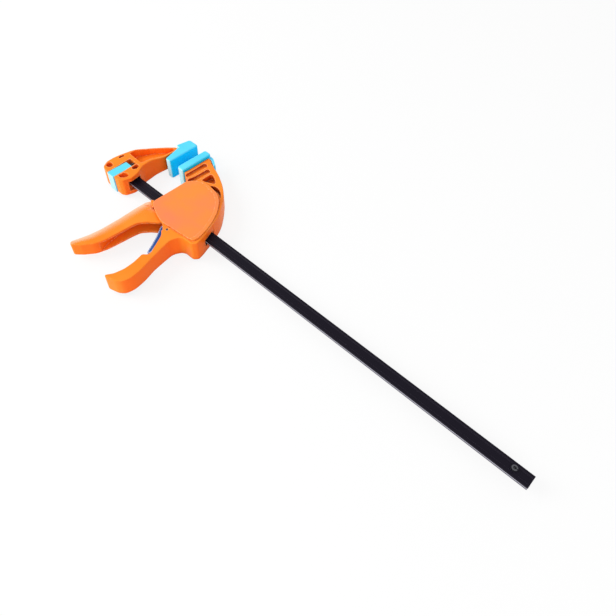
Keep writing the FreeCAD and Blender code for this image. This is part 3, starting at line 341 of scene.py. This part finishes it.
# The trigger's pale rim tone is a painted highlight
TRIGGER = orange_plastic("trigger_plastic", palm=srgb(255, 198, 166))
PANEL = moulded("panel_plastic", colour=srgb(253, 142, 62), deeper=srgb(252, 130, 88),
                edge_highlight_and_wear=WEAR_AND_HIGHLIGHT_ORANGE, wall_shade=WALL_SHADE_ORANGE, hollow_shade=srgb(244, 112, 44),
                deep_shade=HOLLOW_SHADE_ORANGE, roughness=0.36, rim=1.5 * MM, pale_patches_from=0.36)
# Pads: level faces paler than the walls and -Y ends paler still, painted highlight and painted
# shade by facing
CYAN = moulded("pad_rubber", colour=srgb(104, 222, 252), deeper=srgb(84, 210, 250),
               edge_highlight_and_wear=WEAR_AND_HIGHLIGHT_CYAN, wall_shade=srgb(16, 208, 255), hollow_shade=HOLLOW_SHADE_CYAN, deep_shade=DEEP_SHADE_CYAN,
               roughness=0.38, rim=1.8 * MM, pale_patches_from=0.24, ends=srgb(190, 244, 255),
               bump=0.08)
# Button: faces that look to -Y take a painted highlight, and its walls a painted tone of their own
BUTTON = moulded("button_plastic", colour=srgb(112, 222, 240), deeper=srgb(96, 214, 236),
                 edge_highlight_and_wear=WEAR_AND_HIGHLIGHT_CYAN, wall_shade=srgb(120, 206, 232), hollow_shade=HOLLOW_SHADE_CYAN, deep_shade=DEEP_SHADE_CYAN,
                 roughness=0.36, rim=1.4 * MM, pale_patches_from=0.24, ends=srgb(176, 226, 244))
# Lever: near-white edges all round are painted highlight, and its walls a painted tone lighter than
# its faces
LEVER = moulded("lever_plastic", colour=srgb(40, 88, 158), deeper=srgb(34, 70, 140),
                edge_highlight_and_wear=srgb(232, 236, 250), wall_shade=srgb(62, 104, 176), hollow_shade=srgb(44, 74, 134),
                deep_shade=srgb(24, 40, 84), roughness=0.33, rim=2.8 * MM, pale_patches_from=0.05)
# Bar: the pale lines on its side walls are painted highlight, and its paler edges painted highlight
# with wear
BAR_DARK = srgb(20, 16, 26)
BAR_LOW_HIGHLIGHT = srgb(120, 118, 128)
BAR_MID_HIGHLIGHT = srgb(176, 174, 188)
BAR_SIDE_HIGHLIGHTS = [(0.0, BAR_LOW_HIGHLIGHT), (0.14, BAR_LOW_HIGHLIGHT), (0.22, BAR_DARK), (0.32, BAR_DARK),
             (0.40, BAR_MID_HIGHLIGHT), (0.52, BAR_MID_HIGHLIGHT), (0.62, BAR_DARK), (1.0, BAR_DARK)]
BLACK = metal("black_bar", srgb(22, 18, 30), 0.42, edge_highlight_and_wear=srgb(74, 70, 84), metallic=0.0,
              specular=0.08, side_highlights=BAR_SIDE_HIGHLIGHTS)
STEEL = metal("bright_steel", srgb(170, 170, 175), 0.35)
DARK_STEEL = metal("dark_steel", srgb(95, 95, 100), 0.4)

finish = {
    "clamp_bar": BLACK, "bar_stop_pin": DARK_STEEL, "fixed_jaw": ORANGE, "fixed_jaw_pad": CYAN,
    "button_springs": DARK_STEEL, "jaw_release_button": BUTTON, "latch_pin": STEEL,
    "head_frame": HEAD, "side_cover": PANEL, "cover_screws": DARK_STEEL, "moving_jaw_pad": CYAN,
    "trigger_pin": STEEL,
    "lever_pin": DARK_STEEL, "drive_spring": STEEL, "brake_spring": STEEL, "trigger": TRIGGER,
    "drive_plate_front": DARK_STEEL, "drive_plate_rear": DARK_STEEL, "brake_plate": DARK_STEEL,
    "release_lever": LEVER,
}
softened = ["fixed_jaw", "head_frame", "side_cover", "trigger", "release_lever",
            "jaw_release_button"]
EDGE_ROUND = 0.22 * MM
CHEEK_ROUND = 0.35 * MM
SHARP_FROM = math.radians(38)
WELD_REACH = 0.002 * MM


def soften_edges(piece, width):
    """Small rounding of a moulding's sharp edges."""
    weld = piece.modifiers.new("weld", "WELD")
    weld.merge_threshold = WELD_REACH
    bevel = piece.modifiers.new("edges", "BEVEL")
    bevel.width = width
    bevel.segments = 2
    bevel.limit_method = "ANGLE"
    bevel.angle_limit = SHARP_FROM
    bevel.harden_normals = True
    bevel.miter_outer = "MITER_ARC"


def dress_nodes():
    for name, material in finish.items():
        piece = nodes[name]
        piece.data.materials.clear()
        piece.data.materials.append(material)
    for name in softened:
        soften_edges(nodes[name], EDGE_ROUND)


# Cheeks of the head's moulding at the cover's edge, in millimetres. Their tops fall away from the
# bar as the cover's does. Each outline gives X and V.
CHEEK_FOOT = 8.2
CHEEK_TOP = 10.4
CHEEK_FALL = 0.05
CHEEK_FALL_FROM_V = -22
GRIP_CHEEK = [(59.8, -22.7), (62.8, -25.1), (65.7, -27.3), (67.8, -29.0), (68.1, -27.2),
              (67.9, -25.4), (68.3, -24.2), (69.6, -23.2), (71.0, -22.4)]
FRONT_CHEEK = [(32.4, -10.4), (31.0, -11.7), (31.4, -13.1), (35.8, -15.7), (38.6, -16.8),
               (39.0, -15.6), (37.0, -13.6), (33.8, -11.0)]


def make_cheek(name, outline):
    """Thin cheek over an outline, with its edges rounded."""
    count = len(outline)
    points = []
    for top in (False, True):
        for x, v in outline:
            height = CHEEK_TOP + CHEEK_FALL * (v - CHEEK_FALL_FROM_V) if top else CHEEK_FOOT
            points.append((x * MM, v * MM + BAR_CENTRE_Y, height * MM))
    faces = [tuple(reversed(range(count))), tuple(range(count, 2 * count))]
    for index in range(count):
        after = (index + 1) % count
        faces.append((index, after, count + after, count + index))
    mesh = bpy.data.meshes.new(name)
    mesh.from_pydata(points, [], faces)
    mesh.validate()
    mesh.materials.append(HEAD)
    piece = bpy.data.objects.new(name, mesh)
    bpy.context.scene.collection.objects.link(piece)
    soften_edges(piece, CHEEK_ROUND)
    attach(piece, "head")


def make_coils(node, body):
    """A copy of a spring, carried by the given body, shown in place of the imported one."""
    piece = bpy.data.objects.new(node + "_coils", nodes[node].data.copy())
    bpy.context.scene.collection.objects.link(piece)
    piece.matrix_world = nodes[node].matrix_world
    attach(piece, body)
    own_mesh(piece)
    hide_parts(node)


FLOOR_SIZE = 6
FLOOR_MIDDLE_X = 0.2
FLOOR_GLOW = 0.84               # share of the floor's white that no shadow darkens
SKY_STRENGTH = 0.66


def make_stage():
    """Pale floor that is white to the camera and keeps the clamp's shadow, under a white sky."""
    floor_z = cad_box[0].z
    bpy.ops.mesh.primitive_plane_add(size=FLOOR_SIZE, location=(FLOOR_MIDDLE_X, 0, floor_z))
    floor = bpy.context.object
    floor.name = "floor"
    make = Nodes("pale_floor")
    make.shader.inputs["Base Color"].default_value = (0.9, 0.9, 0.9, 1.0)
    make.shader.inputs["Roughness"].default_value = 0.8
    seen = make.add("ShaderNodeLightPath")
    direct = make.add("ShaderNodeMath", operation="MAXIMUM")
    make.link(seen.outputs["Is Camera Ray"], direct.inputs[0])
    make.link(seen.outputs["Is Glossy Ray"], direct.inputs[1])
    share = make.add("ShaderNodeMath", operation="MULTIPLY")
    share.inputs[1].default_value = FLOOR_GLOW
    make.link(direct.outputs["Value"], share.inputs[0])
    white = make.add("ShaderNodeEmission", Strength=1.0)
    mixed = make.add("ShaderNodeMixShader")
    make.link(share.outputs["Value"], mixed.inputs["Fac"])
    make.link(make.shader.outputs["BSDF"], mixed.inputs[1])
    make.link(white.outputs["Emission"], mixed.inputs[2])
    make.link(mixed.outputs["Shader"], make.tree.nodes["Material Output"].inputs["Surface"])
    floor.data.materials.append(make.material)
    world = bpy.data.worlds.new("studio")
    bpy.context.scene.world = world
    world.use_nodes = True
    sky = world.node_tree
    background = sky.nodes["Background"]
    background.inputs["Color"].default_value = (1, 1, 1, 1)
    path = sky.nodes.new("ShaderNodeLightPath")
    seen = sky.nodes.new("ShaderNodeMath")
    seen.operation = "MAXIMUM"
    sky.links.new(path.outputs["Is Camera Ray"], seen.inputs[0])
    sky.links.new(path.outputs["Is Glossy Ray"], seen.inputs[1])
    strength = sky.nodes.new("ShaderNodeMapRange")
    strength.inputs["To Min"].default_value = SKY_STRENGTH
    strength.inputs["To Max"].default_value = 1.0
    sky.links.new(seen.outputs["Value"], strength.inputs["Value"])
    sky.links.new(strength.outputs["Result"], background.inputs["Strength"])


LAMP_AIM = (0.1, -0.05, 0)


def make_lamp(name, place, aim, size, power):
    data = bpy.data.lights.new(name, "AREA")
    data.size = size
    data.energy = power
    lamp = bpy.data.objects.new(name, data)
    bpy.context.scene.collection.objects.link(lamp)
    lamp.location = place
    lamp.rotation_mode = "QUATERNION"
    lamp.rotation_quaternion = (Vector(aim) - Vector(place)).to_track_quat("-Z", "Y")


make_camera()
dress_nodes()
make_cheek("grip_cheek", GRIP_CHEEK)
make_cheek("front_cheek", FRONT_CHEEK)
make_coils("drive_spring", "head")
make_coils("button_springs", "base")
make_stage()
make_lamp("key", (-0.9, -0.9, 1.0), LAMP_AIM, size=1.0, power=19)
make_lamp("fill", (1.2, -1.1, 0.8), LAMP_AIM, size=1.2, power=7)
bpy.context.scene.view_settings.view_transform = "Standard"
